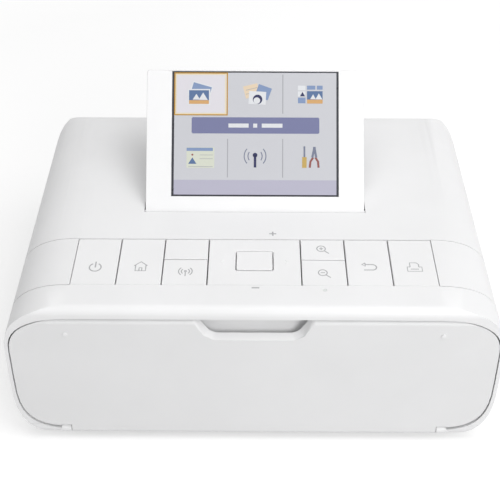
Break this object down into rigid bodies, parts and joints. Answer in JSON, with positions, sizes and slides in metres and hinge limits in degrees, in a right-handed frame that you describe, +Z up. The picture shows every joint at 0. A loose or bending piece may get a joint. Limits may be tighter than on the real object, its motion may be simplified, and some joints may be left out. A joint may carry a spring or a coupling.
{
  "type": "compact photo printer",
  "caption": "Compact photo printer: rounded white case, hinged front cover, tilting colour screen, key row with four-way pad, ink door, and a geared roller and print head drive.",
  "frame": {"origin": "bottom centre of the bounding box at rest, in the plane that the feet stand on", "axes": "+X to the printer's right seen from the front, +Y towards its back, +Z up"},
  "size_m": [0.1806, 0.1359, 0.1033],
  "materials": {
    "case_white": "satin white moulded plastic",
    "cover_grey": "fine matt light grey-white",
    "inner_grey": "matt light grey",
    "dark_plastic": "matt dark grey",
    "gear_plastic": "natural moulded resin",
    "rubber": "soft black",
    "steel": "brushed",
    "aluminium": "plain",
    "brass": "plain",
    "board_green": "printed circuit board",
    "screen_black": "gloss black",
    "screen_window": "clear",
    "film_gold": "thin dyed film",
    "ceramic": "ceramic"
  },
  "bodies": {
    "case": {"lower_case": "case_white", "upper_case": "case_white", "front_frame": "cover_grey", "cassette_bay": "inner_grey", "rubber_feet": "rubber", "case_screws": "steel", "key_board": "board_green", "key_board_screws": "steel", "indicator_lens": "inner_grey", "screen_hinge_pins": "steel", "chassis_left": "steel", "chassis_right": "steel", "tie_bars": "steel", "drive_motor": "steel", "main_board": "board_green", "power_inlet": "dark_plastic", "usb_socket": "steel", "exit_guide": "inner_grey", "battery_cover": "case_white", "side_board": "board_green", "card_slot": "steel", "usb_host_socket": "steel", "shaft_clips": "dark_plastic"},
    "front_cover": {"front_cover": "cover_grey"},
    "screen_unit": {"screen_bezel": "case_white", "screen_back_cover": "case_white", "display_module": "screen_black", "display_window": "screen_window"},
    "ink_door": {"ink_door": "case_white", "ink_door_pin": "steel"},
    "ink_cassette": {"ink_cassette_shell": "dark_plastic", "ribbon_film": "film_gold"},
    "supply_spool": {"supply_spool": "film_gold"},
    "take_up_spool": {"take_up_spool": "dark_plastic"},
    "pad_cradle": {"pad_gimbal": "steel"},
    "four_way_pad": {"four_way_pad": "case_white"},
    "ok_key": {"ok_key": "case_white"},
    "head_group": {"head_carriage": "steel", "heat_sink": "aluminium", "thermal_head": "ceramic"},
    "platen": {"platen_roller": "rubber", "platen_shaft": "steel", "platen_gear": "gear_plastic"},
    "feed": {"feed_roller": "steel", "feed_gear": "gear_plastic"},
    "pinch": {"pinch_roller": "rubber"},
    "pickup": {"pickup_roller": "rubber", "pickup_shaft": "steel", "pickup_gear": "gear_plastic"},
    "transfer_gear": {"transfer_gear": "gear_plastic"},
    "idler_gear": {"idler_gear": "gear_plastic"},
    "motor_pinion": {"motor_pinion": "brass"},
    "power_key": {"power_key": "case_white"},
    "home_key": {"home_key": "case_white"},
    "menu_key": {"menu_key": "case_white"},
    "wireless_key": {"wireless_key": "case_white"},
    "zoom_in_key": {"zoom_in_key": "case_white"},
    "zoom_out_key": {"zoom_out_key": "case_white"},
    "back_key": {"back_key": "case_white"},
    "print_key": {"print_key": "case_white"}
  },
  "joints": [
    {"name": "front_cover_hinge", "type": "hinge", "parent": "case", "child": "front_cover", "pos_m": [0, -0.06595, 0.00495], "axis": [1, 0, 0], "range_deg": [0, 95]},
    {"name": "screen_tilt", "type": "hinge", "parent": "case", "child": "screen_unit", "pos_m": [0, -0.0047, 0.0617], "axis": [1, 0, 0], "range_deg": [-46, 0]},
    {"name": "ink_door_hinge", "type": "hinge", "parent": "case", "child": "ink_door", "pos_m": [0.08875, 0.024, 0.0212], "axis": [0, 1, 0], "range_deg": [0, 90]},
    {"name": "ink_cassette_slide", "type": "slide", "parent": "case", "child": "ink_cassette", "axis": [1, 0, 0], "range_m": [0, 0.006]},
    {"name": "supply_spool_spin", "type": "hinge", "parent": "ink_cassette", "child": "supply_spool", "pos_m": [0.008, 0.0095, 0.036], "axis": [1, 0, 0], "continuous": true},
    {"name": "take_up_spool_spin", "type": "hinge", "parent": "ink_cassette", "child": "take_up_spool", "pos_m": [0.008, 0.0405, 0.036], "axis": [1, 0, 0], "continuous": true},
    {"name": "head_lift", "type": "slide", "parent": "case", "child": "head_group", "axis": [0, 0, 1], "range_m": [-0.0083, 0], "deforming": ["ribbon_film"]},
    {"name": "power_key_press", "type": "slide", "parent": "case", "child": "power_key", "axis": [0, 0, -1], "range_m": [0, 0.0004], "stiffness_N_per_m": 800},
    {"name": "home_key_press", "type": "slide", "parent": "case", "child": "home_key", "axis": [0, 0, -1], "range_m": [0, 0.0004], "stiffness_N_per_m": 800},
    {"name": "menu_key_press", "type": "slide", "parent": "case", "child": "menu_key", "axis": [0, 0, -1], "range_m": [0, 0.0004], "stiffness_N_per_m": 800},
    {"name": "wireless_key_press", "type": "slide", "parent": "case", "child": "wireless_key", "axis": [0, 0, -1], "range_m": [0, 0.0004], "stiffness_N_per_m": 800},
    {"name": "zoom_in_key_press", "type": "slide", "parent": "case", "child": "zoom_in_key", "axis": [0, 0, -1], "range_m": [0, 0.0004], "stiffness_N_per_m": 800},
    {"name": "zoom_out_key_press", "type": "slide", "parent": "case", "child": "zoom_out_key", "axis": [0, 0, -1], "range_m": [0, 0.0004], "stiffness_N_per_m": 800},
    {"name": "back_key_press", "type": "slide", "parent": "case", "child": "back_key", "axis": [0, 0, -1], "range_m": [0, 0.0004], "stiffness_N_per_m": 800},
    {"name": "print_key_press", "type": "slide", "parent": "case", "child": "print_key", "axis": [0, 0, -1], "range_m": [0, 0.0004], "stiffness_N_per_m": 800},
    {"name": "pad_tilt_front_rear", "type": "hinge", "parent": "case", "child": "pad_cradle", "pos_m": [0, -0.0353, 0.0582], "axis": [1, 0, 0], "range_deg": [-1, 1], "stiffness_Nm_per_rad": 0.4},
    {"name": "pad_tilt_left_right", "type": "hinge", "parent": "pad_cradle", "child": "four_way_pad", "pos_m": [0, -0.0353, 0.0582], "axis": [0, 1, 0], "range_deg": [-1, 1], "stiffness_Nm_per_rad": 0.4},
    {"name": "ok_key_press", "type": "slide", "parent": "four_way_pad", "child": "ok_key", "axis": [0, 0, -1], "range_m": [0, 0.0004], "stiffness_N_per_m": 800},
    {"name": "platen_spin", "type": "hinge", "parent": "case", "child": "platen", "pos_m": [0, 0.025, 0.0143], "axis": [1, 0, 0], "continuous": true},
    {"name": "feed_spin", "type": "hinge", "parent": "case", "child": "feed", "pos_m": [0, 0.049, 0.0163], "axis": [1, 0, 0], "continuous": true},
    {"name": "pinch_spin", "type": "hinge", "parent": "case", "child": "pinch", "pos_m": [0, 0.049, 0.0236], "axis": [1, 0, 0], "continuous": true},
    {"name": "pickup_spin", "type": "hinge", "parent": "case", "child": "pickup", "pos_m": [0, -0.014, 0.038], "axis": [1, 0, 0], "continuous": true},
    {"name": "transfer_spin", "type": "hinge", "parent": "case", "child": "transfer_gear", "pos_m": [0, 0.01498, 0.0391], "axis": [1, 0, 0], "continuous": true},
    {"name": "idler_spin", "type": "hinge", "parent": "case", "child": "idler_gear", "pos_m": [0, 0.0346, 0.0271], "axis": [1, 0, 0], "continuous": true},
    {"name": "pinion_spin", "type": "hinge", "parent": "case", "child": "motor_pinion", "pos_m": [0, -0.03146, 0.0455], "axis": [1, 0, 0], "continuous": true}
  ],
  "couplings": [
    {"joint": "idler_spin", "follows": "platen_spin", "ratio": -1},
    {"joint": "feed_spin", "follows": "platen_spin", "ratio": 0.8},
    {"joint": "transfer_spin", "follows": "platen_spin", "ratio": 0.53333},
    {"joint": "pickup_spin", "follows": "platen_spin", "ratio": -0.57143},
    {"joint": "pinion_spin", "follows": "platen_spin", "ratio": 1.6},
    {"joint": "pinch_spin", "follows": "platen_spin", "ratio": -1.0667}
  ]
}
